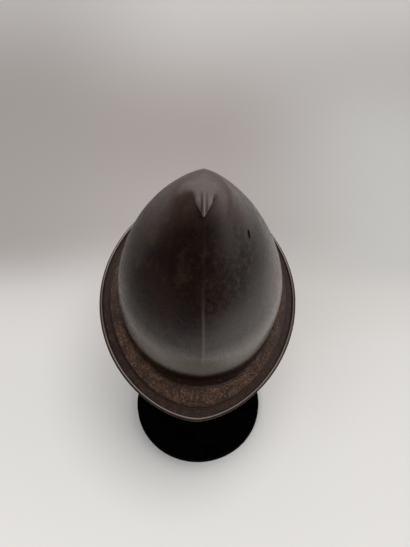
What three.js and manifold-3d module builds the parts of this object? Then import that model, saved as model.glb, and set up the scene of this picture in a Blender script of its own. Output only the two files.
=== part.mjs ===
// A cabasset: an open steel helmet with a keel, a bent stalk and a turned brim, on its stand.
// Millimetres, +Z up. +Y is the helmet's front and +X the wearer's right.
// The origin is the middle of the stand's underside.
import * as THREE from 'three';
import { mergeVertices } from 'three/addons/utils/BufferGeometryUtils.js';
import Module from 'manifold-3d';

const wasm = await Module();
wasm.setup();

// Crown, raised from one plate
const plate = 1.6;
const crownHeight = 226; // from the brim's edge to the apex
const crownHalfWidth = 94.5;
const crownHalfLength = 111;
const apexDrift = 8; // the hand-raised apex stands this far to the right of the brim's middle
const keelRise = 1.2;
const keelSharpness = 160; // how quickly the keel dies away to its sides
const keelPull = 4; // how quickly a section comes back from its keel's drift to its middle's
const hollowPeak = 4; // the hollow's top over the last section inside

// Stalk, bent backward from the apex
const stalkReach = 35.5; // from the crown's middle to the stalk's tip
const stalkHalfWidth = 8.8;
const stalkHalfDepth = 4.2;
const stalkRoot = 11; // from the apex down to the middle of the stalk's root
const stalkPoint = 1.3; // draws its sections out, as brimPoint does the brim

// Brim
const brimHalfWidth = 117.5;
const brimFront = 157; // from the brim's widest line to its front tip
const brimRear = 162; // and to its rear tip
const brimAhead = 6.7; // the widest line lies this far ahead of the crown's middle
const brimPoint = 1.2; // 1 is an ellipse, more draws the two ends to a point
const brimRise = 8.5; // from the edge to the foot of the sweep
const tipRise = 4; // the two tips over the edge at the sides
const tipLift = 3; // how late the edge rises toward a tip
const sweepRadius = 9; // between the brim and the crown
const sweepLimit = 0.4; // the most of the brim's width that the sweep takes
const bandWidth = 13; // recessed band from the edge, at the sides
const bandTipWidth = 15; // and at the tips
const bandLimit = 0.56; // the most of the brim's width that the band takes
const bandStep = 0.9;
const stepRun = 0.6;
const rollRadius = 2.3; // the edge turned over into a roll

// Holes of the lining rivets, and the crack in the right side
const liningHoles = 14;
const liningHoleRadius = 1.9;
const liningHoleTilt = 25; // degrees that a hole's axis rises outward
const crackLength = 9;
const crackHalfWidth = 1.3;
const crackHeight = 0.705; // share of the way from the crown's base to its apex
const crackTurn = 105; // degrees from the front
const crackSlant = 50; // degrees that it runs down toward the rear

// Stand
const baseRadius = 90;
const baseThickness = 14;
const baseEdge = 1.5;
const postRadius = 14;
const domeRadius = 20;
const clearance = 0.3; // between pieces that rest on each other

// The helmet on the stand: its brim's edge plane and crown's middle, from the stand's foot
const brimHeight = 296;
const helmetRight = 1.5;
const helmetForward = 8;

// Facets
const segments = 48;
const postSides = 24;
const domeSteps = 6;
const holeSides = 10;
const sweepAngles = [25, 50, 75].map(THREE.MathUtils.degToRad); // up the sweep from the crown
const rollAngles = [145, 100, 55, 10, -35, -80, -125].map(THREE.MathUtils.degToRad);
const cutLength = 8 * plate;

// Level sections of the crown from its base up. Rise is a share of the way from the base to
// the apex, width and length are shares of the half width and half length. Point draws a
// section's two ends out: 1 is an ellipse. Drift and keel are shares of the apex's drift, for
// a section's middle and for its two ends, where the keel runs.
const levels = [
  { rise: 0.0, width: 0.96, length: 1.0, point: 0.89, drift: 0.27, keel: 0.5 },
  { rise: 0.05, width: 0.985, length: 1.0, point: 0.97, drift: 0.35, keel: 0.6 },
  { rise: 0.12, width: 1.0, length: 0.985, point: 1.06, drift: 0.42, keel: 0.75 },
  { rise: 0.2, width: 0.985, length: 0.97, point: 1.12, drift: 0.42, keel: 0.85 },
  { rise: 0.3, width: 0.94, length: 0.94, point: 1.17, drift: 0.42, keel: 0.88 },
  { rise: 0.4, width: 0.875, length: 0.895, point: 1.21, drift: 0.42, keel: 0.88 },
  { rise: 0.5, width: 0.79, length: 0.83, point: 1.25, drift: 0.42, keel: 0.88 },
  { rise: 0.6, width: 0.68, length: 0.735, point: 1.29, drift: 0.47, keel: 0.9 },
  { rise: 0.69, width: 0.565, length: 0.625, point: 1.33, drift: 0.53, keel: 0.92 },
  { rise: 0.77, width: 0.465, length: 0.51, point: 1.37, drift: 0.59, keel: 0.94 },
  { rise: 0.85, width: 0.365, length: 0.385, point: 1.4, drift: 0.68, keel: 0.97 },
  { rise: 0.91, width: 0.285, length: 0.285, point: 1.43, drift: 0.8, keel: 1.0 },
];
const topLevel = levels[levels.length - 1];

// Sections that turn over from the top level into the stalk. Taper goes from the top level's
// size to the stalk's. Back is a share of the stalk's reach, below of its root, lean in degrees.
const neck = [
  { taper: 0.44, back: 0.1, below: 0.95, lean: 5, drift: 0.9 },
  { taper: 0.75, back: 0.21, below: 0.55, lean: 20, drift: 0.97 },
  { taper: 0.93, back: 0.35, below: 0.4, lean: 50, drift: 1.0 },
];

// Sections of the stalk itself. Width and depth are shares of its half width and half depth.
const stalk = [
  { back: 0.48, below: 0.36, width: 1.0, depth: 1.0, lean: 75 },
  { back: 0.6, below: 0.37, width: 0.92, depth: 0.88, lean: 85 },
  { back: 0.75, below: 0.44, width: 0.6, depth: 0.72, lean: 91 },
  { back: 0.88, below: 0.55, width: 0.33, depth: 0.5, lean: 95 },
];
const stalkTip = { back: 1.0, below: 0.64 };

// Small helpers
function power(value, exponent) {
  return Math.sign(value) * Math.abs(value) ** exponent;
}

function mix(from, to, share) {
  return from + (to - from) * share;
}

function vector(x, y, z) {
  return new THREE.Vector3(x, y, z);
}

function turnAt(step) {
  return ((step % segments) * 2 * Math.PI) / segments;
}

// Crown: a point of a level section, at a turn that is 0 at the front and grows to the right
const crownBase = brimRise + sweepRadius;

function crownPoint(level, turn) {
  const keel = keelRise * Math.abs(Math.cos(turn)) ** keelSharpness;
  const aside = apexDrift * mix(level.drift, level.keel, Math.abs(Math.cos(turn)) ** keelPull);
  const x = aside + crownHalfWidth * level.width * power(Math.sin(turn), level.point);
  const y = crownHalfLength * level.length * Math.cos(turn) + keel * Math.sign(Math.cos(turn));
  return vector(x, y, mix(crownBase, crownHeight, level.rise));
}

function crownNormal(index, turn) {
  const nudge = Math.PI / segments;
  const higher = levels[Math.min(index + 1, levels.length - 1)];
  const lower = levels[Math.max(index - 1, 0)];
  const up = crownPoint(higher, turn).sub(crownPoint(lower, turn));
  const around = crownPoint(levels[index], turn + nudge).sub(crownPoint(levels[index], turn - nudge));
  return around.cross(up).negate().normalize();
}

function crownInside(index, turn) {
  return crownPoint(levels[index], turn).addScaledVector(crownNormal(index, turn), -plate);
}

// Stalk: a section leans back about the middle that its row gives
function leaningPoint(row, halfWidth, halfDepth, point, drift, turn) {
  const lean = THREE.MathUtils.degToRad(row.lean);
  const deep = halfDepth * Math.cos(turn);
  const x = apexDrift * drift + halfWidth * power(Math.sin(turn), point);
  const y = deep * Math.cos(lean) - stalkReach * row.back;
  return vector(x, y, crownHeight - stalkRoot * row.below + deep * Math.sin(lean));
}

function neckPoint(row, turn) {
  const halfWidth = mix(crownHalfWidth * topLevel.width, stalkHalfWidth, row.taper);
  const halfDepth = mix(crownHalfLength * topLevel.length, stalkHalfDepth, row.taper);
  const point = mix(topLevel.point, stalkPoint, row.taper);
  return leaningPoint(row, halfWidth, halfDepth, point, row.drift, turn);
}

function stalkSection(row, turn) {
  return leaningPoint(row, stalkHalfWidth * row.width, stalkHalfDepth * row.depth, stalkPoint, 1, turn);
}

// Brim: a line runs across it from its edge to the crown's foot, at the same turn
function brimAcross(turn) {
  const reach = Math.cos(turn) > 0 ? brimFront : brimRear;
  const x = brimHalfWidth * power(Math.sin(turn), brimPoint);
  const edge = vector(x, brimAhead + reach * Math.cos(turn), 0);
  const foot = crownPoint(levels[0], turn).setZ(0);
  const width = edge.distanceTo(foot);
  const sweep = Math.min(sweepRadius, sweepLimit * width);
  const band = Math.min(mix(bandWidth, bandTipWidth, Math.cos(turn) ** 2), bandLimit * width);
  const lift = tipRise * Math.abs(Math.cos(turn)) ** tipLift;
  return { edge, foot, width, sweep, band, lift };
}

function brimSpot(across, inset, z) {
  const spot = across.edge.clone().lerp(across.foot, inset / across.width);
  return spot.setZ(z);
}

// The plate's own height at an inset from the edge, before the band is stepped down
function plateHeight(across, inset) {
  return mix(across.lift, brimRise, inset / (across.width - across.sweep));
}

function bandPoint(across, inset, down) {
  return brimSpot(across, inset, plateHeight(across, inset) - down);
}

function sweepPoint(across, angle, inward) {
  const radius = across.sweep + inward;
  const out = across.sweep - radius * Math.cos(angle);
  const height = (across.sweep - radius * Math.sin(angle)) * (sweepRadius / across.sweep);
  return brimSpot(across, across.width - out, brimRise + height);
}

function rollPoint(across, angle) {
  const inset = rollRadius * (1 - Math.cos(angle));
  return brimSpot(across, inset, across.lift + rollRadius * Math.sin(angle));
}

// Rings of the whole skin: from the stalk's tip down the outside, over the brim's edge and up
// the inside to the hollow's top. Each ring is a function of the turn.
function skinRings() {
  const rollWidth = 2 * rollRadius;
  const rings = [];
  rings.push(() => vector(apexDrift, -stalkReach * stalkTip.back, crownHeight - stalkRoot * stalkTip.below));
  for (const row of [...stalk].reverse()) rings.push((turn) => stalkSection(row, turn));
  for (const row of [...neck].reverse()) rings.push((turn) => neckPoint(row, turn));
  for (const row of [...levels].reverse()) rings.push((turn) => crownPoint(row, turn));
  for (const angle of sweepAngles) rings.push((turn) => sweepPoint(brimAcross(turn), angle, 0));
  rings.push((turn) => sweepPoint(brimAcross(turn), Math.PI / 2, 0));
  rings.push((turn) => bandPoint(brimAcross(turn), brimAcross(turn).band + stepRun, 0));
  rings.push((turn) => bandPoint(brimAcross(turn), brimAcross(turn).band, bandStep));
  rings.push((turn) => bandPoint(brimAcross(turn), rollWidth, bandStep));
  for (const angle of rollAngles) rings.push((turn) => rollPoint(brimAcross(turn), angle));
  rings.push((turn) => bandPoint(brimAcross(turn), rollWidth, bandStep + plate));
  rings.push((turn) => bandPoint(brimAcross(turn), brimAcross(turn).band, bandStep + plate));
  rings.push((turn) => bandPoint(brimAcross(turn), brimAcross(turn).band + stepRun, plate));
  rings.push((turn) => sweepPoint(brimAcross(turn), Math.PI / 2, plate));
  for (const angle of [...sweepAngles].reverse()) {
    rings.push((turn) => sweepPoint(brimAcross(turn), angle, plate));
  }
  for (let index = 1; index < levels.length; index++) rings.push((turn) => crownInside(index, turn));
  rings.push(() => hollowTop());
  return rings;
}

// The hollow's top lies over the stand's axis, where the crown rests
function hollowTop() {
  const last = crownInside(levels.length - 1, Math.PI / 2);
  return vector(-helmetRight, -helmetForward, last.z + hollowPeak);
}

// A turned skin, each of whose rings is then put in its real place
function skinGeometry() {
  const rings = skinRings();
  const profile = rings.map((ring, row) => {
    const pole = row === 0 || row === rings.length - 1;
    return new THREE.Vector2(pole ? 0 : 1, row);
  });
  const geometry = new THREE.LatheGeometry(profile, segments);
  const position = geometry.getAttribute('position');
  for (let step = 0; step <= segments; step++) {
    rings.forEach((ring, row) => {
      const spot = ring(turnAt(step));
      position.setXYZ(step * rings.length + row, spot.x, spot.y, spot.z);
    });
  }
  return geometry;
}

// Solids for cutting
function toSolid(geometry) {
  const bare = geometry.clone();
  bare.deleteAttribute('normal');
  bare.deleteAttribute('uv');
  const merged = mergeVertices(bare);
  const vertProperties = new Float32Array(merged.getAttribute('position').array);
  const triVerts = new Uint32Array(merged.getIndex().array);
  return new wasm.Manifold(new wasm.Mesh({ numProp: 3, vertProperties, triVerts }));
}

function toGeometry(solid) {
  const mesh = solid.getMesh();
  const geometry = new THREE.BufferGeometry();
  geometry.setAttribute('position', new THREE.BufferAttribute(mesh.vertProperties, 3));
  geometry.setIndex(new THREE.BufferAttribute(mesh.triVerts, 1));
  geometry.computeVertexNormals();
  return geometry;
}

// Lining holes, evenly spaced round the crown's foot, none on the keel's line
function liningHoleCutters() {
  const angle = THREE.MathUtils.degToRad(liningHoleTilt);
  const points = [];
  for (let step = 0; step < segments; step++) {
    const across = brimAcross(turnAt(step) + Math.PI);
    points.push(sweepPoint(across, angle, 0));
  }
  const ring = new THREE.CatmullRomCurve3(points, true);
  const cutters = [];
  for (let hole = 0; hole < liningHoles; hole++) {
    const share = (hole + 0.5) / liningHoles;
    const along = ring.getTangentAt(share).setZ(0).normalize();
    const outward = vector(-along.y, along.x, 0).multiplyScalar(Math.cos(angle));
    outward.z = Math.sin(angle);
    const cutter = new THREE.CylinderGeometry(liningHoleRadius, liningHoleRadius, cutLength, holeSides);
    const turned = new THREE.Quaternion().setFromUnitVectors(vector(0, 1, 0), outward);
    const place = new THREE.Matrix4().compose(ring.getPointAt(share), turned, vector(1, 1, 1));
    cutters.push(cutter.applyMatrix4(place));
  }
  return cutters;
}

// The crack: a spindle cut through the plate
function crackCutter() {
  const half = crackLength / 2;
  const spindle = new THREE.Shape();
  spindle.moveTo(-half, 0);
  spindle.quadraticCurveTo(0, 2 * crackHalfWidth, half, 0);
  spindle.quadraticCurveTo(0, -2 * crackHalfWidth, -half, 0);
  const through = { depth: cutLength, bevelEnabled: false, curveSegments: 5 };
  const cutter = new THREE.ExtrudeGeometry(spindle, through);
  cutter.translate(0, 0, -cutLength / 2);
  const above = levels.findIndex((level) => level.rise > crackHeight);
  const share = (crackHeight - levels[above - 1].rise) / (levels[above].rise - levels[above - 1].rise);
  const turn = THREE.MathUtils.degToRad(crackTurn);
  const spot = crownPoint(levels[above - 1], turn).lerp(crownPoint(levels[above], turn), share);
  const outward = crownNormal(above, turn);
  const level = vector(0, 0, 1).cross(outward).normalize();
  const downhill = level.clone().cross(outward).normalize();
  const slant = THREE.MathUtils.degToRad(crackSlant);
  const rearward = level.multiplyScalar(-Math.cos(slant));
  const along = rearward.addScaledVector(downhill, Math.sin(slant)).normalize();
  const side = outward.clone().cross(along);
  return cutter.applyMatrix4(new THREE.Matrix4().makeBasis(along, side, outward).setPosition(spot));
}

function skullAndBrim() {
  const steel = new THREE.MeshStandardMaterial({ color: 0x3a2c29, roughness: 0.45, metalness: 0.9 });
  let solid = toSolid(skinGeometry());
  for (const cutter of [...liningHoleCutters(), crackCutter()]) solid = solid.subtract(toSolid(cutter));
  const mesh = new THREE.Mesh(toGeometry(solid), steel);
  mesh.name = 'skull_and_brim';
  return mesh;
}

// Stand: a round covered base and a plain post with a domed top
function standBase() {
  const velvet = new THREE.MeshStandardMaterial({ color: 0x060606, roughness: 1, metalness: 0 });
  const profile = [
    new THREE.Vector2(0, 0),
    new THREE.Vector2(baseRadius - baseEdge, 0),
    new THREE.Vector2(baseRadius, baseEdge),
    new THREE.Vector2(baseRadius, baseThickness - baseEdge),
    new THREE.Vector2(baseRadius - baseEdge, baseThickness),
    new THREE.Vector2(0, baseThickness),
  ];
  const mesh = new THREE.Mesh(new THREE.LatheGeometry(profile, segments), velvet);
  mesh.name = 'stand_base';
  mesh.rotation.x = Math.PI / 2;
  return mesh;
}

// How far the dome's top stays below the hollow's, so that its round side clears the slope there
function domeSettle() {
  const top = hollowTop();
  let steepest = 0;
  for (let step = 0; step < segments; step++) {
    const rim = crownInside(levels.length - 1, turnAt(step));
    const run = Math.hypot(rim.x - top.x, rim.y - top.y);
    steepest = Math.max(steepest, (top.z - rim.z) / run);
  }
  return domeRadius * (Math.hypot(1, steepest) - 1) + clearance;
}

function standPost() {
  const velvet = new THREE.MeshStandardMaterial({ color: 0x080808, roughness: 1, metalness: 0 });
  const bottom = baseThickness + clearance;
  const top = brimHeight + hollowTop().z - domeSettle();
  const domeMiddle = top - domeRadius;
  const profile = [new THREE.Vector2(0, bottom), new THREE.Vector2(postRadius, bottom)];
  profile.push(new THREE.Vector2(postRadius, domeMiddle - domeRadius));
  for (let step = 0; step < domeSteps; step++) {
    const angle = (step * Math.PI) / 2 / domeSteps;
    profile.push(new THREE.Vector2(domeRadius * Math.cos(angle), domeMiddle + domeRadius * Math.sin(angle)));
  }
  profile.push(new THREE.Vector2(0, top));
  const mesh = new THREE.Mesh(new THREE.LatheGeometry(profile, postSides), velvet);
  mesh.name = 'stand_post';
  mesh.rotation.x = Math.PI / 2;
  return mesh;
}

// Assembly
const cabasset = new THREE.Group();
const helmet = new THREE.Group();
helmet.position.set(helmetRight, helmetForward, brimHeight);
helmet.add(skullAndBrim());
cabasset.add(helmet, standBase(), standPost());

export default cabasset;
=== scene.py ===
# A cabasset on its stand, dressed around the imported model. Metres, +Z up.
# +Y is the helmet's front and +X the wearer's right.
import math

import bmesh
import bpy
import numpy as np
from mathutils import Matrix, Vector, kdtree, noise


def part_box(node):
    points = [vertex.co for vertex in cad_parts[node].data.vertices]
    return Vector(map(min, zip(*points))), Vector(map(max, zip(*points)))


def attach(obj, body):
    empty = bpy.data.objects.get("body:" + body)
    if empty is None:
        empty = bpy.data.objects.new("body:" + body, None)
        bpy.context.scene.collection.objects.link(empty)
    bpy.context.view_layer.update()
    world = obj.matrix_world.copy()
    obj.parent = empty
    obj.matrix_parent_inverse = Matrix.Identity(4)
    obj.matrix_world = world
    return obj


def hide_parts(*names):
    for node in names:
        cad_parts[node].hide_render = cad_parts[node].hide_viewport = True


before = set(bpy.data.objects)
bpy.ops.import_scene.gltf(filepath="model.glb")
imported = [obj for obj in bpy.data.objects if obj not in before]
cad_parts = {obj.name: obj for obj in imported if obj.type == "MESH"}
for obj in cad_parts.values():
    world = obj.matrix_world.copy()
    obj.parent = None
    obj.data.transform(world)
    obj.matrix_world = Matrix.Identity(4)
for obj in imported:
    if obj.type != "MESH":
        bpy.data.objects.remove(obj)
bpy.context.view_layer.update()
scene = bpy.context.scene
print("frame loaded", sorted(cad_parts))

# Camera: above and behind the helmet, looking forward and down
view = {
    "place": (0.0105, -0.4863, 1.1481),
    "tilt": 32,  # degrees up from straight down
    "focalPixels": 822,
    "pictureHeight": 547,
    "sensor": 36,
}


def addCamera():
    data = bpy.data.cameras.new("camera")
    data.sensor_width = view["sensor"]
    data.lens = view["sensor"] * view["focalPixels"] / view["pictureHeight"]
    eye = bpy.data.objects.new("camera", data)
    eye.location = view["place"]
    eye.rotation_euler = (math.radians(view["tilt"]), 0, 0)
    scene.collection.objects.link(eye)
    scene.camera = eye


addCamera()
print("camera placed")

# Helmet, in millimetres from the middle of its crown and the plane of its brim's edge
helmet = {
    "origin": (1.5, 8, 296),
    "plate": 1.6,
    "crownHeight": 226,
    "crownHalfWidth": 94.5,
    "crownHalfLength": 111,
    "apexDrift": 8,
    "keelRise": 0.7,
    "keelSharpness": 260,
    "keelPull": 4,
    "hollowPeak": 4,
    "stalkReach": 35.5,
    "stalkHalfWidth": 8.8,
    "stalkHalfDepth": 4.2,
    "stalkRoot": 11,
    "stalkPoint": 1.3,
    "brimHalfWidth": 117.5,
    "brimFront": 157,
    "brimRear": 162,
    "brimAhead": 6.7,
    "brimPoint": 1.2,
    "brimRise": 8.5,
    "tipRise": 4,
    "tipLift": 3,
    "sweepRadius": 9,
    "sweepLimit": 0.4,
    "bandWidth": 13,
    "bandTipWidth": 15,
    "bandLimit": 0.56,
    "bandStep": 0.9,
    "stepRun": 0.6,
    "rollRadius": 2.3,
    "columns": 336,
    "gather": 0.4,  # draws the columns together at the keel
    "keelWidth": 2.2,  # how far the keel's finish and painted highlight reach to its sides
    "keelFade": 0.9,  # how much of the keel's rise is gone at the apex
}

# Rings of the skin from the stalk's tip down, and the zones along them
skin = {
    "stalkSteps": 7,
    "crownSteps": 5,
    "hollowSteps": 3,
    "stalkBlend": (12, 14),  # rings before and after the stalk's root
    "sweepSteps": 10,
    "slopeSteps": 12,
    "fallSteps": 5,
    "rustLate": 6,  # rust begins this many rings lower behind
    "rustBehind": (0.78, 0.98),
    "rustRun": 4,
    # painted shade at the recessed band's two edges, on the step's top edge and on the roll's lower
    # outer face
    "bandShade": (0.9, 0.5, 0, 0, 0, 0, 0, 1),
    "edgeShade": 0.8,
    "rollGap": 0.3,
    "rollSteps": 22,
    "rollStart": 160,
    "rollTurn": 14,
    # a painted highlight along the roll's crest
    "lineAngle": 98,
    "lineWidth": 17,
    # painted shade on the roll, in its inner groove and on its lower outer face
    "soilAbove": 128,
    "soilBetween": (40, 74),
}

# Sections of the crown: rise, width, length, point, drift, keel
levels = [
    (0.00, 0.960, 1.000, 0.89, 0.27, 0.50),
    (0.05, 0.985, 1.000, 0.97, 0.35, 0.60),
    (0.12, 1.000, 0.985, 1.06, 0.42, 0.75),
    (0.20, 0.985, 0.970, 1.12, 0.42, 0.85),
    (0.30, 0.940, 0.940, 1.17, 0.42, 0.88),
    (0.40, 0.875, 0.895, 1.21, 0.42, 0.88),
    (0.50, 0.790, 0.830, 1.25, 0.42, 0.88),
    (0.60, 0.680, 0.735, 1.29, 0.47, 0.90),
    (0.69, 0.565, 0.625, 1.33, 0.53, 0.92),
    (0.77, 0.465, 0.510, 1.37, 0.59, 0.94),
    (0.85, 0.365, 0.385, 1.40, 0.68, 0.97),
    (0.91, 0.285, 0.285, 1.43, 0.80, 1.00),
]
# Turn into the stalk: taper, back, below, lean, drift
neck = [
    (0.44, 0.10, 0.95, 5, 0.90),
    (0.75, 0.21, 0.55, 20, 0.97),
    (0.93, 0.35, 0.40, 50, 1.00),
]
# The stalk: back, below, width, depth, lean
stalk = [
    (0.48, 0.36, 1.00, 1.00, 75),
    (0.60, 0.37, 0.92, 0.88, 85),
    (0.75, 0.44, 0.60, 0.72, 91),
    (0.88, 0.55, 0.33, 0.50, 95),
]
stalkTip = (1.00, 0.64)

# Relief of the outside, in millimetres
relief = {
    "hammerSize": 24,
    "hammerDepth": 0.16,
    "smallHammerSize": 9,
    "smallHammerDepth": 0.05,
    "pitSize": 5.5,
    "pitDepth": 0.22,
    "finePitSize": 2.8,
    "finePitDepth": 0.14,
    "ridgeHeight": 0.16,
    "ridgeHalfWidth": 0.95,
    "ridgeHollow": 0.05,
    "hollowAside": 3.2,
    "hollowWidth": 1.5,
    "ridgeFade": (430, 470),  # heights between which the ridge thins
    "ridgeThin": 0.35,
    "lineCalm": 0.25,
    # a painted highlight along the stalk's crest
    "crestWidth": 0.13,
    "crestLight": 0.6,
    "crestRun": (11, 22),
    "grooveAside": 0.3,
    "grooveWidth": 0.14,
    "grooveRun": (-4, 10),
    "lobeRidge": 0.75,
    "lobeHollow": 0.85,
}

# Lining holes and the crack
openings = {
    "holes": 14,
    "holeRadius": 1.9,
    "flare": 0.75,
    "flareDepth": 0.7,
    "soilLevel": 0.95,  # rust clogs the holes below this depth
    "holeTilt": 25,
    "holeSides": 24,
    "lipReach": 1.4,
    "lidGrow": 1.3,
    "cutLength": 12.8,
    "crackLength": 9,
    "crackHalfWidth": 1.5,
    "crackEdge": 1.2,
    "crackHeight": 0.705,
    "crackTurn": 105,
    "crackSlant": 50,
    "crackSides": 32,
    "crackRound": 0.8,
    "crackJag": 0.25,
    "crackEdgeLength": 0.6,  # of the dark edge, past the crack's two ends
    "crackEdgeFade": (1.25, 0.8),
}

crownBase = helmet["brimRise"] + helmet["sweepRadius"]


def power(value, exponent):
    return np.sign(value) * np.abs(value) ** exponent


def mix(low, high, share):
    return low + (high - low) * share


def smoothShare(value, low, high):
    share = np.clip((value - low) / (high - low), 0, 1)
    return share * share * (3 - 2 * share)


def spots(x, y, z):
    return np.stack(np.broadcast_arrays(x, y, z), axis=-1).astype(float)


def crownRing(level, turns):
    rise, width, length, point, drift, keel = level
    facing = np.abs(np.cos(turns))
    aside = helmet["apexDrift"] * mix(drift, keel, facing ** helmet["keelPull"])
    raised = helmet["keelRise"] * facing ** helmet["keelSharpness"] * np.sign(np.cos(turns))
    raised *= 1 - helmet["keelFade"] * rise ** 3
    x = aside + helmet["crownHalfWidth"] * width * power(np.sin(turns), point)
    y = helmet["crownHalfLength"] * length * np.cos(turns) + raised
    return spots(x, y, mix(crownBase, helmet["crownHeight"], rise))


def crownNormals(index, turns):
    nudge = math.pi / 48
    higher = levels[min(index + 1, len(levels) - 1)]
    lower = levels[max(index - 1, 0)]
    up = crownRing(higher, turns) - crownRing(lower, turns)
    around = crownRing(levels[index], turns + nudge) - crownRing(levels[index], turns - nudge)
    across = np.cross(up, around)
    return across / np.linalg.norm(across, axis=-1, keepdims=True)


def insideRing(index, turns):
    return crownRing(levels[index], turns) - crownNormals(index, turns) * helmet["plate"]


def leaningRing(back, below, lean, halfWidth, halfDepth, point, drift, turns):
    lean = math.radians(lean)
    deep = halfDepth * np.cos(turns)
    x = helmet["apexDrift"] * drift + halfWidth * power(np.sin(turns), point)
    y = deep * math.cos(lean) - helmet["stalkReach"] * back
    z = helmet["crownHeight"] - helmet["stalkRoot"] * below + deep * math.sin(lean)
    return spots(x, y, z)


def neckRing(row, turns):
    taper, back, below, lean, drift = row
    top = levels[-1]
    halfWidth = mix(helmet["crownHalfWidth"] * top[1], helmet["stalkHalfWidth"], taper)
    halfDepth = mix(helmet["crownHalfLength"] * top[2], helmet["stalkHalfDepth"], taper)
    point = mix(top[3], helmet["stalkPoint"], taper)
    return leaningRing(back, below, lean, halfWidth, halfDepth, point, drift, turns)


def stalkRing(row, turns):
    back, below, width, depth, lean = row
    halfWidth, halfDepth = helmet["stalkHalfWidth"] * width, helmet["stalkHalfDepth"] * depth
    return leaningRing(back, below, lean, halfWidth, halfDepth, helmet["stalkPoint"], 1, turns)


def tipRing(turns):
    z = helmet["crownHeight"] - helmet["stalkRoot"] * stalkTip[1]
    return spots(helmet["apexDrift"] + 0 * turns, -helmet["stalkReach"] * stalkTip[0], z)


# Brim: a line runs across it from its edge to the crown's foot, at the same turn
class Brim:
    def __init__(self, turns):
        reach = np.where(np.cos(turns) > 0, helmet["brimFront"], helmet["brimRear"])
        x = helmet["brimHalfWidth"] * power(np.sin(turns), helmet["brimPoint"])
        self.edge = spots(x, helmet["brimAhead"] + reach * np.cos(turns), 0)
        self.foot = crownRing(levels[0], turns) * (1, 1, 0)
        self.width = np.linalg.norm(self.foot - self.edge, axis=-1)
        self.sweep = np.minimum(helmet["sweepRadius"], helmet["sweepLimit"] * self.width)
        band = mix(helmet["bandWidth"], helmet["bandTipWidth"], np.cos(turns) ** 2)
        self.band = np.minimum(band, helmet["bandLimit"] * self.width)
        self.lift = helmet["tipRise"] * np.abs(np.cos(turns)) ** helmet["tipLift"]

    def spot(self, inset, z):
        share = (inset / self.width)[:, None]
        flat = self.edge * (1 - share) + self.foot * share
        flat[:, 2] = z
        return flat

    def bandRing(self, inset, down):
        inset = inset + 0 * self.width
        height = mix(self.lift, helmet["brimRise"], inset / (self.width - self.sweep))
        return self.spot(inset, height - down)

    def sweepRing(self, angle, inward):
        radius = self.sweep + inward
        out = self.sweep - radius * math.cos(angle)
        high = (self.sweep - radius * math.sin(angle)) * (helmet["sweepRadius"] / self.sweep)
        return self.spot(self.width - out, helmet["brimRise"] + high)

    def rollRing(self, angle):
        inset = helmet["rollRadius"] * (1 - math.cos(angle)) + 0 * self.width
        return self.spot(inset, self.lift + helmet["rollRadius"] * math.sin(angle))


# Rings laid on a smooth curve through the given ones, a number of steps to each gap
def smoothRings(controls, steps, first, last):
    stack = np.stack(controls)
    gaps = np.linalg.norm(np.diff(stack, axis=0), axis=-1).mean(axis=1) ** 0.5
    knots = np.concatenate([[0], np.cumsum(gaps)])
    rings = []
    for gap in range(first, last):
        a, b, c, d = stack[gap - 1 : gap + 3]
        ta, tb, tc, td = knots[gap - 1 : gap + 3]
        for step in range(steps[gap - first]):
            t = mix(tb, tc, step / steps[gap - first])
            ab = mix(a, b, (t - ta) / (tb - ta))
            bc = mix(b, c, (t - tb) / (tc - tb))
            cd = mix(c, d, (t - tc) / (td - tc))
            abc = mix(ab, bc, (t - ta) / (tc - ta))
            bcd = mix(bc, cd, (t - tb) / (td - tb))
            rings.append(mix(abc, bcd, (t - tb) / (tc - tb)))
    return rings
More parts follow.
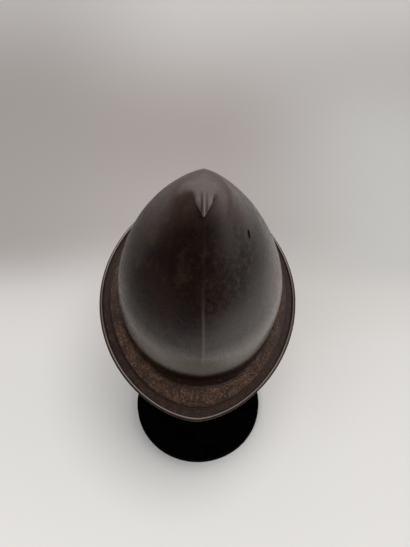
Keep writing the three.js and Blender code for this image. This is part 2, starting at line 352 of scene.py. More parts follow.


# The whole skin, ring by ring: down the outside from the stalk's tip, round the brim's edge
# and up the inside. Beside each ring stand the zones that the finish and its painted light and
# shade read.
def skinRings(turns):
    brim = Brim(turns)
    half = len(turns) // 2
    roll = 2 * helmet["rollRadius"] + skin["rollGap"]
    down, plate, run = helmet["bandStep"], helmet["plate"], helmet["stepRun"]
    rows = []

    def add(ring, **zones):
        rows.append((ring, zones))

    outside = [tipRing(turns)]
    outside += [stalkRing(row, turns) for row in reversed(stalk)]
    outside += [neckRing(row, turns) for row in reversed(neck)]
    outside += [crownRing(row, turns) for row in reversed(levels)]
    outside.append(brim.sweepRing(math.radians(25), 0))
    controls = [np.roll(outside[1], half, axis=0)] + outside
    gaps = len(controls) - 3
    bent = len(stalk) + 1 + len(neck)
    steps = [skin["stalkSteps"]] * bent + [skin["crownSteps"]] * (gaps - bent)
    fine = smoothRings(controls, steps, 1, gaps + 1)
    root = skin["stalkSteps"] * (len(stalk) + 1)
    before, after = skin["stalkBlend"]
    for index, ring in enumerate(fine):
        share = smoothShare(-index, -root - before, -root + after)
        add(ring, outside=1, stalk=share * (index > 0))
    late = skin["rustLate"] * smoothShare(-np.cos(turns), *skin["rustBehind"])
    for step in range(skin["sweepSteps"]):
        angle = step * math.pi / (2 * skin["sweepSteps"])
        rust = smoothShare(step, late, late + skin["rustRun"])
        add(brim.sweepRing(angle, 0), outside=1, rust=rust)
    inner = brim.width - brim.sweep
    # the last ring of the slope and the step's fall carry painted shade
    for step in range(skin["slopeSteps"]):
        ring = brim.bandRing(mix(inner, brim.band + run, step / skin["slopeSteps"]), 0)
        add(ring, outside=1, rust=1, soil=skin["edgeShade"] * (step == skin["slopeSteps"] - 1))
    for step in range(skin["fallSteps"]):
        share = step / (skin["fallSteps"] - 1)
        fall = down * share * share * (3 - 2 * share)
        add(brim.bandRing(brim.band + run * (1 - share), fall), outside=1, rust=1 - share, soil=1)
    # the recessed band, with painted shade at both its edges
    for step, soil in enumerate(skin["bandShade"], 1):
        ring = brim.bandRing(mix(brim.band, roll, step / len(skin["bandShade"])), down)
        add(ring, outside=1, recess=1, soil=soil)
    low, high = skin["soilBetween"]
    for step in range(skin["rollSteps"]):
        angle = skin["rollStart"] - step * skin["rollTurn"]
        # a painted highlight along the roll's crest
        line = math.exp(-(((angle - skin["lineAngle"]) / skin["lineWidth"]) ** 2))
        ring = brim.rollRing(math.radians(angle))
        # painted shade in the roll's inner groove and on its lower outer face
        soil = float(angle > skin["soilAbove"]) + skin["edgeShade"] * (low < angle < high)
        add(ring, outside=1 - step / skin["rollSteps"], line=line, recess=1 - line, soil=soil)
    for share in (0, 0.5, 1):
        add(brim.bandRing(mix(roll, brim.band, share), down + plate), inside=1)
    add(brim.bandRing(brim.band + run, plate), inside=1)
    for share in (0.33, 0.67):
        add(brim.bandRing(mix(brim.band + run, inner, share), plate), inside=1)
    for step in range(6):
        add(brim.sweepRing((6 - step) * math.pi / 12, plate), inside=1)
    last = insideRing(len(levels) - 1, np.array([math.pi / 2]))[0, 2]
    top = spots(-helmet["origin"][0] + 0 * turns, -helmet["origin"][1], last + helmet["hollowPeak"])
    hollow = [brim.sweepRing(math.radians(angle), plate) for angle in (50, 25)]
    hollow += [insideRing(index, turns) for index in range(1, len(levels))]
    hollow += [top, np.roll(hollow[-1], half, axis=0)]
    steps = [skin["hollowSteps"]] * (len(hollow) - 3)
    for ring in smoothRings(hollow, steps, 1, len(hollow) - 2):
        add(ring, inside=1)
    add(top, inside=1)
    return rows


zoneNames = ("outside", "inside", "rust", "soil", "recess", "line", "stalk", "groove", "keel")


def spinLine(places, columns, merged):
    bm = bmesh.new()
    chain = [bm.verts.new(place) for place in places]
    line = [bm.edges.new(pair) for pair in zip(chain, chain[1:])]
    bmesh.ops.spin(
        bm, geom=chain + line, cent=(0, 0, 0), axis=(0, 0, 1), dvec=(0, 0, 0),
        angle=2 * math.pi, steps=columns, use_merge=True, use_duplicate=False,
    )
    bmesh.ops.remove_doubles(bm, verts=bm.verts, dist=merged)
    return bm


def spinSkin():
    columns = helmet["columns"]
    steps = np.arange(columns) * 2 * math.pi / columns
    turns = steps - helmet["gather"] / 2 * np.sin(2 * steps)
    rows = skinRings(turns)
    origin = np.array(helmet["origin"])
    last = len(rows) - 1
    bm = spinLine([(0, 0 < row < last, row) for row in range(last + 1)], columns, 1e-4)
    layers = {name: bm.verts.layers.float.new(name) for name in zoneNames}
    for vert in bm.verts:
        row = round(vert.co.z)
        angle = math.atan2(vert.co.x, vert.co.y) % (2 * math.pi)
        column = round(angle / (2 * math.pi) * columns) % columns
        ring, zones = rows[row]
        turn = turns[column]
        for name, value in zones.items():
            vert[layers[name]] = float(value if np.ndim(value) == 0 else value[column])
        facing = math.cos(turn)
        aside = ring[column, 0] - ring[0 if facing > 0 else columns // 2, 0]
        if zones.get("outside") == 1 and abs(facing) > 0.8 and not zones.get("recess"):
            vert[layers["keel"]] = math.exp(-(aside / helmet["keelWidth"]) ** 2)
        vert.co = Vector(ring[column] + origin) * 0.001
    bmesh.ops.recalc_face_normals(bm, faces=bm.faces)
    bm.normal_update()
    shapeRelief(bm, layers)
    return bm


def shapeRelief(bm, layers):
    right = helmet["origin"][0] + helmet["apexDrift"]
    moves = []
    for vert in bm.verts:
        if vert[layers["outside"]] < 0.02:
            continue
        spot = vert.co * 1000
        rust, stalkShare = vert[layers["rust"]], vert[layers["stalk"]]
        calm = vert[layers["outside"]] * (1 - stalkShare)
        if vert[layers["line"]] > 0.001:
            calm *= relief["lineCalm"]
        height = relief["hammerDepth"] * noise.noise(spot / relief["hammerSize"])
        height += relief["smallHammerDepth"] * noise.noise(spot / relief["smallHammerSize"])
        height *= calm
        height += rust * relief["pitDepth"] * noise.noise(spot / relief["pitSize"])
        height += rust * relief["finePitDepth"] * noise.noise(spot / relief["finePitSize"])
        if vert[layers["keel"]] > 0 and stalkShare < 1:
            wide = math.sqrt(max(0, -math.log(vert[layers["keel"]]))) * helmet["keelWidth"]
            hollow = (wide - relief["hollowAside"]) / relief["hollowWidth"]
            ridge = relief["ridgeHeight"] * math.exp(-(wide / relief["ridgeHalfWidth"]) ** 2)
            ridge -= relief["ridgeHollow"] * math.exp(-hollow ** 2)
            thinned = mix(1, relief["ridgeThin"], smoothShare(spot.z, *relief["ridgeFade"]))
            height += ridge * (1 - stalkShare) * (1 - rust) * thinned
        if stalkShare > 0 and vert.normal.z > 0:
            across = abs(spot.x - right) / helmet["stalkHalfWidth"]
            crest = math.exp(-(across / relief["crestWidth"]) ** 2)
            groove = math.exp(-((across - relief["grooveAside"]) / relief["grooveWidth"]) ** 2)
            groove *= smoothShare(-spot.y, *relief["grooveRun"])
            lobes = relief["lobeRidge"] * crest - relief["lobeHollow"] * groove
            # the grooves also get painted shade in the colour
            vert[layers["groove"]] = stalkShare * groove
            # a painted highlight along the stalk's crest
            light = relief["crestLight"] * smoothShare(-spot.y, *relief["crestRun"])
            vert[layers["line"]] = light * stalkShare * crest
            height += stalkShare * lobes * min(1, vert.normal.z * 1.5)
        moves.append((vert, vert.normal * height * 0.001))
    for vert, move in moves:
        vert.co += move


def inMetres(spot, turned):
    moved = Matrix.Translation(Vector(spot) + Vector(helmet["origin"]))
    return Matrix.Scale(0.001, 4) @ moved @ turned


def holeCutters(bm):
    turns = np.linspace(0, 2 * math.pi, 1441) + math.pi
    angle = math.radians(openings["holeTilt"])
    ring = Brim(turns).sweepRing(angle, 0)
    along = np.concatenate([[0], np.cumsum(np.linalg.norm(np.diff(ring, axis=0), axis=1))])
    radius, deep, sides = openings["holeRadius"], openings["flareDepth"], openings["holeSides"]
    lip = (deep * openings["lipReach"], (radius + openings["flare"]) / radius)
    lids = (lip, (openings["cutLength"] / 2, openings["lidGrow"]))
    for hole in range(openings["holes"]):
        length = along[-1] * (hole + 0.5) / openings["holes"]
        spot = Vector([np.interp(length, along, ring[:, axis]) for axis in range(3)])
        ahead = Vector([np.interp(length + 0.5, along, ring[:, axis]) for axis in range(3)]) - spot
        ahead.z = 0
        ahead.normalize()
        outward = Vector((-ahead.y, ahead.x, 0)) * math.cos(angle) + Vector((0, 0, math.sin(angle)))
        turned = outward.to_track_quat("Z", "Y").to_matrix().to_4x4()
        place = inMetres(spot, turned)
        made = bmesh.ops.create_cone(
            bm, cap_ends=True, segments=sides, radius1=radius, radius2=radius,
            depth=openings["cutLength"], matrix=place,
        )
        faces = {face for vert in made["verts"] for face in vert.link_faces}
        caps = [face for face in faces if len(face.verts) == sides]
        lid = max(caps, key=lambda face: face.calc_center_median().dot(outward))
        inner = (place @ Vector((0, 0, -deep))) - lid.calc_center_median()
        bmesh.ops.translate(bm, verts=lid.verts, vec=inner)
        base = [vert for vert in made["verts"] if vert not in lid.verts[:]]
        bottom = place @ Vector((0, 0, -openings["soilLevel"]))
        middle = sum((vert.co for vert in base), Vector()) / len(base)
        bmesh.ops.translate(bm, verts=base, vec=bottom - middle)
        for reach, grow in lids:
            top = bmesh.ops.extrude_discrete_faces(bm, faces=[lid])["faces"][0]
            bmesh.ops.translate(bm, verts=top.verts, vec=outward * reach * 0.001)
            centre = top.calc_center_median()
            bmesh.ops.scale(bm, vec=(grow,) * 3, verts=top.verts, space=Matrix.Translation(-centre))
            lid = top


# Axes of the crack: along it, across it and outward
def crackPlace():
    rises = [level[0] for level in levels]
    above = next(index for index, rise in enumerate(rises) if rise > openings["crackHeight"])
    share = (openings["crackHeight"] - rises[above - 1]) / (rises[above] - rises[above - 1])
    turn = np.array([math.radians(openings["crackTurn"])])
    spot = mix(crownRing(levels[above - 1], turn), crownRing(levels[above], turn), share)[0]
    outward = Vector(crownNormals(above, turn)[0])
    level = Vector((0, 0, 1)).cross(outward).normalized()
    downhill = level.cross(outward).normalized()
    slant = math.radians(openings["crackSlant"])
    along = (downhill * math.sin(slant) - level * math.cos(slant)).normalized()
    side = outward.cross(along)
    return inMetres(spot, Matrix((along, side, outward)).transposed().to_4x4())


def crackCutter(bm):
    place = crackPlace()
    half, sides = openings["crackLength"] / 2, openings["crackSides"]
    made = bmesh.ops.create_circle(bm, cap_ends=True, segments=sides, radius=half)
    for vert in made["verts"]:
        share = vert.co.x / half
        wide = openings["crackHalfWidth"] * (1 - share * share) ** openings["crackRound"]
        jag = 1 + openings["crackJag"] * noise.noise(Vector((vert.co.x * 0.9, vert.co.y, 3)))
        vert.co.y = math.copysign(wide * jag, vert.co.y) if abs(share) < 0.999 else 0
        vert.co.z = -openings["cutLength"] / 2
    face = made["verts"][0].link_faces[0]
    top = bmesh.ops.extrude_face_region(bm, geom=[face])["geom"]
    lifted = [item for item in top if isinstance(item, bmesh.types.BMVert)]
    bmesh.ops.translate(bm, verts=lifted, vec=(0, 0, openings["cutLength"]))
    bmesh.ops.transform(bm, matrix=place, verts=made["verts"] + lifted)


def meshObject(bm, name, material):
    mesh = bpy.data.meshes.new(name)
    bm.to_mesh(mesh)
    bm.free()
    piece = bpy.data.objects.new(name, mesh)
    scene.collection.objects.link(piece)
    if material:
        mesh.materials.append(material)
    return piece


# The cuts are taken out of the shell, whose zones are then given back to the new mesh
def cutShell(shell, cutter):
    old = shell.data
    zones = {name: np.empty(len(old.vertices), dtype=np.float32) for name in zoneNames}
    for name, values in zones.items():
        old.attributes[name].data.foreach_get("value", values)
    tree = kdtree.KDTree(len(old.vertices))
    for vert in old.vertices:
        tree.insert(vert.co, vert.index)
    tree.balance()
    cut = shell.modifiers.new("openings", "BOOLEAN")
    cut.operation, cut.solver, cut.object = "DIFFERENCE", "MANIFOLD", cutter
    depsgraph = bpy.context.evaluated_depsgraph_get()
    new = bpy.data.meshes.new_from_object(shell.evaluated_get(depsgraph))
    shell.modifiers.clear()
    shell.data = new
    near = [tree.find(vert.co)[1] for vert in new.vertices]
    for name in zoneNames:
        if name in new.attributes:
            new.attributes.remove(new.attributes[name])
        layer = new.attributes.new(name, "FLOAT", "POINT")
        layer.data.foreach_set("value", zones[name][near])
    bpy.data.objects.remove(cutter)
    new.name = "cabasset"


def softShading(mesh, angle):
    bm = bmesh.new()
    bm.from_mesh(mesh)
    for face in bm.faces:
        face.smooth = True
    for edge in bm.edges:
        edge.smooth = edge.calc_face_angle(0) < math.radians(angle)
    bm.to_mesh(mesh)
    bm.free()


# Node helpers
def addNode(tree, kind, values=None, **settings):
    node = tree.nodes.new(kind)
    for name, value in settings.items():
        setattr(node, name, value)
    for socket, value in (values or {}).items():
        feed(tree, node.inputs[socket], value)
    return node


def feed(tree, socket, value):
    if isinstance(value, bpy.types.NodeSocket):
        tree.links.new(value, socket)
    else:
        socket.default_value = value


def colour(red, green, blue):
    def plain(value):
        value /= 255
        return value / 12.92 if value <= 0.04045 else ((value + 0.055) / 1.055) ** 2.4

    return (plain(red), plain(green), plain(blue), 1)


def blendColour(tree, share, low, high, kind="MIX"):
    node = addNode(tree, "ShaderNodeMix", data_type="RGBA", blend_type=kind)
    for index, value in ((0, share), (6, low), (7, high)):
        feed(tree, node.inputs[index], value)
    return node.outputs[2]


def compute(tree, kind, first, second=0.5):
    node = addNode(tree, "ShaderNodeMath", {0: first, 1: second}, operation=kind)
    return node.outputs[0]


def ranged(tree, value, low, high, start=0.0, end=1.0):
    values = {"Value": value, "From Min": low, "From Max": high, "To Min": start, "To Max": end}
    return addNode(tree, "ShaderNodeMapRange", values, interpolation_type="SMOOTHSTEP").outputs[0]


def cloud(tree, spot, scale, detail=4, roughness=0.55, distortion=0.0):
    values = {
        "Vector": spot, "Scale": scale, "Detail": detail,
        "Roughness": roughness, "Distortion": distortion,
    }
    return addNode(tree, "ShaderNodeTexNoise", values).outputs[0]


def zone(tree, name):
    return addNode(tree, "ShaderNodeAttribute", attribute_name=name).outputs["Fac"]


def newMaterial(name):
    material = bpy.data.materials.new(name)
    material.use_nodes = True
    tree = material.node_tree
    return material, tree, tree.nodes["Principled BSDF"]


iron = {
    "dark": colour(24, 13, 10),
    "warm": colour(36, 19, 14),
    "olive": colour(52, 43, 22),
    "keel": colour(66, 36, 28),
    "worn": colour(118, 112, 106),
    "rust": colour(72, 46, 35),
    "ochre": colour(112, 94, 76),
    # dark rust, and also the colour of the painted shade
    "burntAndShade": colour(34, 20, 16),
    "band": colour(36, 25, 23),
    # the colour of the painted highlights
    "highlight": colour(172, 163, 154),
    "polished": colour(82, 72, 69),
    "inside": colour(44, 33, 28),
    # the colour of the painted reflection on the crown's lower rear
    "pale": colour(140, 132, 124),
    "bandStain": colour(78, 60, 50),
    # the colour of the painted reflections and of the keel's painted highlight
    "reflectedMauve": colour(132, 112, 108),
    "ior": 1.85,
}


def times(tree, first, second):
    return compute(tree, "MULTIPLY", first, second)


def plus(tree, first, second):
    return compute(tree, "ADD", first, second)


# The dark edge of the crack is painted shade: an oval round it, on the axes of the cut
def crackShade(tree, spot):
    place = crackPlace()
    edge = openings["crackEdge"]
    half = openings["crackLength"] / 2 + edge * openings["crackEdgeLength"]
    sizes = (half, openings["crackHalfWidth"] + edge)
    total = 0.0
    for axis, size in enumerate(sizes):
        side = place.col[axis].to_3d().normalized()
        values = {0: spot, 1: side}
        dot = addNode(tree, "ShaderNodeVectorMath", values, operation="DOT_PRODUCT")
        along = compute(tree, "SUBTRACT", dot.outputs["Value"], place.translation.dot(side))
        along = compute(tree, "DIVIDE", along, size * 0.001)
        total = plus(tree, total, times(tree, along, along))
    return ranged(tree, total, *openings["crackEdgeFade"])


# Noises of the steel: scale, detail, roughness, distortion
clouds = {
    "broad": (16, 5, 0.6),
    "patch": (48, 6, 0.65, 0.4),
    "mottle": (150, 5, 0.7),
    "grain": (420, 5, 0.7),
    "speck": (800, 3, 0.6),
    "crumb": (620, 5, 0.75),
    "streak": (70, 5, 0.65),
}
# Where each part of the steel's finish and of its painted light and shade fades in, in metres or as
# a level of its noise, and how
# strong it is: from, to and, where they aren't 0 and 1, the two strengths
finishAndPaintedLight = {
    "tint": (0.38, 0.64),
    "stainStreak": (0.5, 0.66),
    "stainRight": (0.03, -0.03),
    "stain": 0.6,
    "keel": 0.12,
    "dustRight": (-0.03, 0.06, 0.12, 1),
    "dustLeft": (-0.05, -0.09, 0, 0.6),
    "dustHigh": (0.5, 0.42, 0.35, 1),
    "dustMottle": (0.42, 0.62),
    "wear": (0.53, 0.64, 0, 0.62),
    "ridgePower": 3.0,
    "ridgeHigh": (0.46, 0.4, 0, 0.3),
    "ridgeLow": (0.325, 0.345),
    "topHigh": (0.43, 0.49, 0, 0.2),
    "topPatch": (0.3, 0.6, 0.7, 1),
    "topAhead": (-0.03, 0.01),
    "rimOut": (0.068, 0.094, 0, 0.34),
    "rimHigh": (0.33, 0.36),
    "footLow": (0.32, 0.33),
    "footHigh": (0.375, 0.34),
    "footAhead": (0.06, -0.06, 0, 0.65),
    "filletHigh": (0.323, 0.315),
    "filletAhead": (-0.06, -0.1, 0.1, 0.75),
    "groove": 0.85,
    "bandMottle": (0.4, 0.6),
    "bandGrain": (0.42, 0.6),
    "band": 0.7,
    "bandSpeck": (0.44, 0.36, 0, 0.8),
    "rustPatch": (0.36, 0.58),
    "rustCrumb": (0.47, 0.6, 0, 0.9),
    "rustSpeck": (0.42, 0.5, 0.95, 0),
    "rustMottle": (0.55, 0.42, 0, 0.6),
    "rustEdge": 3.0,
    "rust": (0.0, 0.3),
    "lineAhead": (0.0, 0.1, 0.35, 1),
    "soil": 0.75,
    "rustDull": 0.7,
    "gloss": (0.35, 0.7, 0.25, 0.29),
    "mottleGloss": (0.35, 0.7, -0.05, 0.1),
    "rustGloss": 0.1,
    "dullGloss": 0.3,
    "specular": (0, 1, 0.5, 0.12),
    "metal": (0, 1, 0.2, 0),
    "lineMetal": 0.6,
    "pits": (0.35, 0.6),
    "roughness": 0.2,
}
ironBump = {"Strength": 0.5, "Distance": 0.0006}


def ironMaterial():
    material, tree, shader = newMaterial("aged iron")
    spot = addNode(tree, "ShaderNodeTexCoord").outputs["Object"]
    place = addNode(tree, "ShaderNodeSeparateXYZ", {0: spot})
    right, ahead, high = place.outputs
    drawn = addNode(tree, "ShaderNodeMapping", {"Vector": spot, "Scale": (1, 1, 0.2)}).outputs[0]
    broad = cloud(tree, spot, *clouds["broad"])
    patch = cloud(tree, spot, *clouds["patch"])
    mottle = cloud(tree, spot, *clouds["mottle"])
    streak = cloud(tree, drawn, *clouds["streak"])
    grain = cloud(tree, spot, *clouds["grain"])
    speck = cloud(tree, spot, *clouds["speck"])
    crumb = cloud(tree, spot, *clouds["crumb"])
    names = ("rust", "soil", "recess", "line", "stalk", "groove", "keel")
    rust, soil, recess, line, stem, groove, keel = (zone(tree, name) for name in names)

    base = blendColour(tree, ranged(tree, broad, *finishAndPaintedLight["tint"]), iron["dark"], iron["warm"])
    stain = ranged(tree, streak, *finishAndPaintedLight["stainStreak"])
    stain = times(tree, stain, ranged(tree, right, *finishAndPaintedLight["stainRight"]))
    base = blendColour(tree, times(tree, stain, finishAndPaintedLight["stain"]), base, iron["olive"])
    base = blendColour(tree, times(tree, keel, finishAndPaintedLight["keel"]), base, iron["keel"])
    dusty = ranged(tree, right, *finishAndPaintedLight["dustRight"])
    dusty = plus(tree, dusty, ranged(tree, right, *finishAndPaintedLight["dustLeft"]))
    dusty = times(tree, dusty, ranged(tree, high, *finishAndPaintedLight["dustHigh"]))
    dusty = times(tree, dusty, ranged(tree, mottle, *finishAndPaintedLight["dustMottle"]))
    wear = times(tree, ranged(tree, grain, *finishAndPaintedLight["wear"]), dusty)
    # painted highlight: a thin light line along the keel's lower part
    ridge = compute(tree, "POWER", keel, finishAndPaintedLight["ridgePower"])
    ridge = times(tree, ridge, ranged(tree, high, *finishAndPaintedLight["ridgeHigh"]))
    ridge = times(tree, ridge, ranged(tree, high, *finishAndPaintedLight["ridgeLow"]))
    # painted reflection: the crown's top, ahead of the stalk, mirrors a pale wall
    top = ranged(tree, high, *finishAndPaintedLight["topHigh"])
    top = times(tree, top, ranged(tree, patch, *finishAndPaintedLight["topPatch"]))
    top = times(tree, top, ranged(tree, ahead, *finishAndPaintedLight["topAhead"]))
    base = blendColour(tree, top, base, iron["reflectedMauve"])
    # painted reflection: the crown's sides, far out to left and right, lighter
    rim = ranged(tree, compute(tree, "ABSOLUTE", right), *finishAndPaintedLight["rimOut"])
    rim = times(tree, rim, ranged(tree, high, *finishAndPaintedLight["rimHigh"]))
    base = blendColour(tree, rim, base, iron["reflectedMauve"])
    base = blendColour(tree, wear, base, iron["worn"])
    base = blendColour(tree, ridge, base, iron["reflectedMauve"])
    # painted reflection of the pale floor on the crown's lower rear
    foot = ranged(tree, high, *finishAndPaintedLight["footLow"])
    foot = times(tree, foot, ranged(tree, high, *finishAndPaintedLight["footHigh"]))
    foot = times(tree, foot, ranged(tree, ahead, *finishAndPaintedLight["footAhead"]))
    base = blendColour(tree, foot, base, iron["pale"])
    # painted shade in the sweep at the crown's foot, strongest behind
    fillet = ranged(tree, high, *finishAndPaintedLight["filletHigh"])
    fillet = times(tree, fillet, ranged(tree, ahead, *finishAndPaintedLight["filletAhead"]))
    base = blendColour(tree, fillet, base, iron["burntAndShade"])
    base = blendColour(tree, stem, base, iron["polished"])
    # painted shade in the stalk's grooves
    base = blendColour(tree, times(tree, groove, finishAndPaintedLight["groove"]), base, iron["burntAndShade"])
    band = ranged(tree, mottle, *finishAndPaintedLight["bandMottle"])
    band = times(tree, band, ranged(tree, grain, *finishAndPaintedLight["bandGrain"]))
    band = blendColour(tree, times(tree, band, finishAndPaintedLight["band"]), iron["band"], iron["bandStain"])
    band = blendColour(tree, ranged(tree, speck, *finishAndPaintedLight["bandSpeck"]), band, iron["burntAndShade"])
    base = blendColour(tree, recess, base, band)
    redder = ranged(tree, patch, *finishAndPaintedLight["rustPatch"])
    rusty = blendColour(tree, redder, iron["burntAndShade"], iron["rust"])
    rusty = blendColour(tree, ranged(tree, crumb, *finishAndPaintedLight["rustCrumb"]), rusty, iron["ochre"])
    rusty = blendColour(tree, ranged(tree, speck, *finishAndPaintedLight["rustSpeck"]), rusty, iron["burntAndShade"])
    rusty = blendColour(tree, ranged(tree, mottle, *finishAndPaintedLight["rustMottle"]), rusty, iron["burntAndShade"])
    fresh = times(tree, rust, compute(tree, "SUBTRACT", 1.0, rust))
    rusty = blendColour(tree, times(tree, fresh, finishAndPaintedLight["rustEdge"]), rusty, iron["burntAndShade"])
    base = blendColour(tree, ranged(tree, rust, *finishAndPaintedLight["rust"]), base, rusty)
    # painted highlight along the roll's and the stalk's crests, weaker at the sides
    side = ranged(tree, compute(tree, "ABSOLUTE", ahead), *finishAndPaintedLight["lineAhead"])
    base = blendColour(tree, times(tree, line, side), base, iron["highlight"])
    # painted shade along the step, at the band's edges and in the roll's grooves
    base = blendColour(tree, times(tree, soil, finishAndPaintedLight["soil"]), base, iron["burntAndShade"])
    crack = crackShade(tree, spot)
    dull = plus(tree, crack, times(tree, rust, finishAndPaintedLight["rustDull"]))
    dull = compute(tree, "MAXIMUM", recess, dull)
    # painted shade: the crack's edge painted black
    base = blendColour(tree, crack, base, (0, 0, 0, 1))
    base = blendColour(tree, zone(tree, "inside"), base, iron["inside"])
    feed(tree, shader.inputs["Base Color"], base)

    gloss = ranged(tree, broad, *finishAndPaintedLight["gloss"])
    gloss = plus(tree, gloss, ranged(tree, mottle, *finishAndPaintedLight["mottleGloss"]))
    gloss = plus(tree, gloss, times(tree, rust, finishAndPaintedLight["rustGloss"]))
    gloss = plus(tree, gloss, times(tree, dull, finishAndPaintedLight["dullGloss"]))
    feed(tree, shader.inputs["Roughness"], gloss)
    feed(tree, shader.inputs["Specular IOR Level"], ranged(tree, dull, *finishAndPaintedLight["specular"]))
    clean = compute(tree, "SUBTRACT", 1.0, rust)
    metal = plus(tree, wear, times(tree, line, finishAndPaintedLight["lineMetal"]))
    metal = plus(tree, ranged(tree, dull, *finishAndPaintedLight["metal"]), metal)
    feed(tree, shader.inputs["Metallic"], times(tree, clean, metal))
    shader.inputs["IOR"].default_value = iron["ior"]

    pits = times(tree, ranged(tree, speck, *finishAndPaintedLight["pits"]), rust)
    height = plus(tree, pits, times(tree, plus(tree, grain, mottle), finishAndPaintedLight["roughness"]))
    bump = addNode(tree, "ShaderNodeBump", {"Height": height} | ironBump)
    feed(tree, shader.inputs["Normal"], bump.outputs[0])
    return material


def makeHelmet():
    material = ironMaterial()
    shell = meshObject(spinSkin(), "cabasset", material)
    cutterMesh = bmesh.new()
    holeCutters(cutterMesh)
    crackCutter(cutterMesh)
    bmesh.ops.recalc_face_normals(cutterMesh, faces=cutterMesh.faces)
    cutter = meshObject(cutterMesh, "cutter", None)
    cutShell(shell, cutter)
    softShading(shell.data, 38)
    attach(shell, "root")
    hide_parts("skull_and_brim")
    print("helmet made", len(shell.data.polygons), "faces")


makeHelmet()

# Stand: a velvet-covered disc and post, in millimetres
stand = {
    "baseRadius": 90,
    "baseThickness": 14,
    "baseEdge": 3.5,
    "baseFoot": 1.5,
    "postRadius": 14,
    "domeRadius": 20,
    "columns": 160,
    "postColumns": 72,
    "napSize": 3,
    "napDepth": 0.18,
}


velvet = {
    "nap": (60, 4, 0.6),
    "pile": (1600, 2, 0.6),
    "napRange": (0.35, 0.7),
    "low": colour(1, 1, 1),
    "high": colour(4, 4, 5),
    "bump": {"Strength": 0.6, "Distance": 0.0004},
    "shader": {
        "Roughness": 1,
        "Specular IOR Level": 0.02,
        "Sheen Weight": 0.005,
        "Sheen Roughness": 0.4,
    },
}


def velvetMaterial():
    material, tree, shader = newMaterial("black velvet")
    spot = addNode(tree, "ShaderNodeTexCoord").outputs["Object"]
    nap = ranged(tree, cloud(tree, spot, *velvet["nap"]), *velvet["napRange"])
    pile = cloud(tree, spot, *velvet["pile"])
    shade = blendColour(tree, nap, velvet["low"], velvet["high"])
    feed(tree, shader.inputs["Base Color"], shade)
    for name, value in velvet["shader"].items():
        shader.inputs[name].default_value = value
    bump = addNode(tree, "ShaderNodeBump", {"Height": pile} | velvet["bump"])
    feed(tree, shader.inputs["Normal"], bump.outputs[0])
    return material


def spinProfile(profile, columns):
    bm = spinLine([(radius * 0.001, 0, z * 0.001) for radius, z in profile], columns, 1e-6)
    bmesh.ops.recalc_face_normals(bm, faces=bm.faces)
    bm.normal_update()
    return bm


def napRelief(bm, floorLevel):
    for vert in bm.verts:
        if vert.co.z > floorLevel + 1e-4:
            deep = noise.noise(vert.co * 1000 / stand["napSize"])
            vert.co -= vert.normal * (0.5 + 0.5 * deep) * stand["napDepth"] * 0.001


def makeStand():
    cover = velvetMaterial()
    radius, thick, edge = stand["baseRadius"], stand["baseThickness"], stand["baseEdge"]
    foot = stand["baseFoot"]
    profile = [(0, 0), (radius / 2, 0), (radius - foot, 0), (radius, foot), (radius, thick / 2)]
    for step in range(7):
        angle = step * math.pi / 12
        out, up = edge * math.cos(angle), edge * math.sin(angle)
        profile.append((radius - edge + out, thick - edge + up))
    for step in range(1, 31):
        profile.append(((radius - edge) * (1 - step / 30), thick))
    bm = spinProfile(profile, stand["columns"])
    napRelief(bm, 0.0012)
    base = meshObject(bm, "stand_disc", cover)

    low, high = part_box("stand_post")
    top, bottom = high[2] * 1000, low[2] * 1000
    centre, dome = top - stand["domeRadius"], stand["domeRadius"]
    thin = stand["postRadius"]
    profile = [(0, bottom), (thin - 1, bottom), (thin, bottom + 1)]
    shoulder = centre - dome
    for step in range(1, 40):
        profile.append((thin, mix(bottom + 1, shoulder, step / 40)))
    for step in range(9):
        share = step / 8
        wide = mix(thin, dome, share * share * (3 - 2 * share))
        profile.append((wide, mix(shoulder, centre, share)))
    for step in range(1, 13):
        angle = step * math.pi / 24
        profile.append((dome * math.cos(angle), centre + dome * math.sin(angle)))
    profile[-1] = (0, top)
    bm = spinProfile(profile, stand["postColumns"])
    napRelief(bm, bottom * 0.001)
    post = meshObject(bm, "stand_column", cover)
    for piece, node in ((base, "stand_base"), (post, "stand_post")):
        softShading(piece.data, 50)
        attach(piece, "root")
        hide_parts(node)
    print("stand made")


makeStand()

# Floor, light and surroundings
studio = {
    "floorHalf": 4,
    "keyPlace": (0.22, -0.3, 2.0),
    "keySize": 0.8,
    "keyPower": 16.4,
    "fillPlace": (-0.5, -0.8, 1.8),
    "fillSize": 1.2,
    "fillPower": 11.5,
    "paleSide": (0.42, 0.85, 0.32),
    "dark": (0.022, 0.02, 0.018, 1),
    "pale": (0.87, 0.82, 0.8, 1),
    "paleRight": (0.1, 0.105, 0.1, 1),
    # painted light on the floor to the right, painted shade to the left
    "floorRight": colour(207, 208, 206),
    "floorLeft": colour(172, 168, 166),
    "brightSpot": (0.32, 0.0, 0),
    "aim": (0, 0.05, 0.25),
    "keyTint": (1, 0.99, 0.97),
    "fillTint": (0.98, 0.98, 1),
    "rearRight": (0.45, 1.0),
    "paleFade": (-0.08, 0.54),
    "paleTop": (1.0, 0.75, 0.55, 1),
}
# The floor's tone along +Y, as it falls away behind the stand; the darker band behind the stand is
# painted shade
floorTones = [
    (-0.3, colour(232, 232, 230)),
    (0.08, colour(226, 226, 224)),
    (0.19, colour(220, 219, 217)),
    (0.34, colour(184, 179, 177)),
    (0.52, colour(176, 170, 168)),
    (0.95, colour(229, 229, 227)),
]
# Where the floor is painted lighter or darker, painted light and shade, and how bright the steel
# mirrors it
floorFades = {
    "lighterRight": (0.0, 0.36),
    "lighterAhead": (0.16, 0.28),
    "lighterFar": (0.9, 0.5, 0.1, 1),
    "darkerLeft": (0.0, -0.35),
    "darkerAhead": (0.15, 0.32),
    "darkerFar": (0.95, 0.5, 0.4, 1),
    "spotStart": 0.3,
    "spotEnd": (0.1, 0.9, 1.1, 1.6),
    "spotSeen": (0.96, 0.12),
    "nearSeen": (0.05, 0.35, 0, 0.55),
    "farSeen": (1.0, 2.4, 0, 0.3),
}


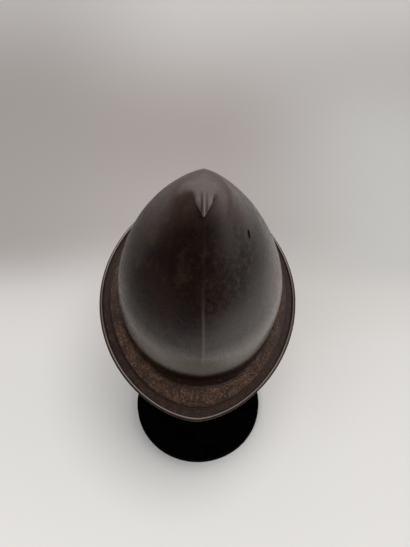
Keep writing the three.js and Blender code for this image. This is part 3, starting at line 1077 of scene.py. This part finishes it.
def floorMaterial():
    material, tree, shader = newMaterial("pale floor")
    spot = addNode(tree, "ShaderNodeTexCoord").outputs["Object"]
    right, ahead, _ = addNode(tree, "ShaderNodeSeparateXYZ", {0: spot}).outputs
    shade = floorTones[0][1]
    for (low, _), (high, tone) in zip(floorTones, floorTones[1:]):
        shade = blendColour(tree, ranged(tree, ahead, low, high), shade, tone)
    # painted light: lighter to the right behind the stand
    lighter = ranged(tree, right, *floorFades["lighterRight"])
    lighter = times(tree, lighter, ranged(tree, ahead, *floorFades["lighterAhead"]))
    lighter = times(tree, lighter, ranged(tree, ahead, *floorFades["lighterFar"]))
    shade = blendColour(tree, lighter, shade, studio["floorRight"])
    # painted shade: darker to the left behind the stand
    darker = ranged(tree, right, *floorFades["darkerLeft"])
    darker = times(tree, darker, ranged(tree, ahead, *floorFades["darkerAhead"]))
    darker = times(tree, darker, ranged(tree, ahead, *floorFades["darkerFar"]))
    shade = blendColour(tree, darker, shade, studio["floorLeft"])
    # painted shade for the steel's reflections: it mirrors a bright floor only near the stand and
    # far ahead, elsewhere a darkened one
    values = {0: spot, 1: studio["brightSpot"]}
    away = addNode(tree, "ShaderNodeVectorMath", values, operation="DISTANCE").outputs["Value"]
    spotEnd = ranged(tree, right, *floorFades["spotEnd"])
    near = ranged(tree, away, floorFades["spotStart"], spotEnd, *floorFades["spotSeen"])
    front = ranged(tree, ahead, *floorFades["nearSeen"])
    front = plus(tree, front, ranged(tree, ahead, *floorFades["farSeen"]))
    seen = compute(tree, "MAXIMUM", near, front)
    mirrored = addNode(tree, "ShaderNodeLightPath").outputs["Is Glossy Ray"]
    dimmed = blendColour(tree, seen, colour(0, 0, 0), shade)
    shade = blendColour(tree, mirrored, shade, dimmed)
    feed(tree, shader.inputs["Base Color"], shade)
    shader.inputs["Roughness"].default_value = 0.8
    return material


def makeFloor():
    bm = bmesh.new()
    bmesh.ops.create_grid(bm, x_segments=4, y_segments=4, size=studio["floorHalf"])
    floor = meshObject(bm, "floor", floorMaterial())


def addLight(name, place, size, strength, tint):
    data = bpy.data.lights.new(name, "AREA")
    data.shape, data.size, data.energy, data.color = "DISK", size, strength, tint
    lamp = bpy.data.objects.new(name, data)
    lamp.location = place
    toward = Vector(studio["aim"]) - Vector(place)
    lamp.rotation_euler = toward.to_track_quat("-Z", "Y").to_euler()
    lamp.visible_glossy = False  # what the steel mirrors is the room, below
    scene.collection.objects.link(lamp)


# The room that the steel mirrors: pale ahead and to the right, dark above and behind
def makeWorld():
    world = bpy.data.worlds.new("studio")
    scene.world = world
    world.use_nodes = True
    tree = world.node_tree
    direction = addNode(tree, "ShaderNodeTexCoord").outputs["Generated"]
    values = {0: direction, 1: studio["paleSide"]}
    toward = addNode(tree, "ShaderNodeVectorMath", values, operation="DOT_PRODUCT").outputs["Value"]
    parts = addNode(tree, "ShaderNodeSeparateXYZ", {0: direction}).outputs
    rear = ranged(tree, parts[0], *studio["rearRight"])
    rear = blendColour(tree, rear, studio["dark"], studio["paleRight"])
    ahead = ranged(tree, toward, *studio["paleFade"])
    ahead = times(tree, ahead, ranged(tree, parts[2], *studio["paleTop"]))
    shade = blendColour(tree, ahead, rear, studio["pale"])
    feed(tree, tree.nodes["Background"].inputs["Color"], shade)


makeFloor()
for name in ("key", "fill"):
    addLight(name, *(studio[name + part] for part in ("Place", "Size", "Power", "Tint")))
makeWorld()
scene.view_settings.view_transform = "Standard"
print("studio set")
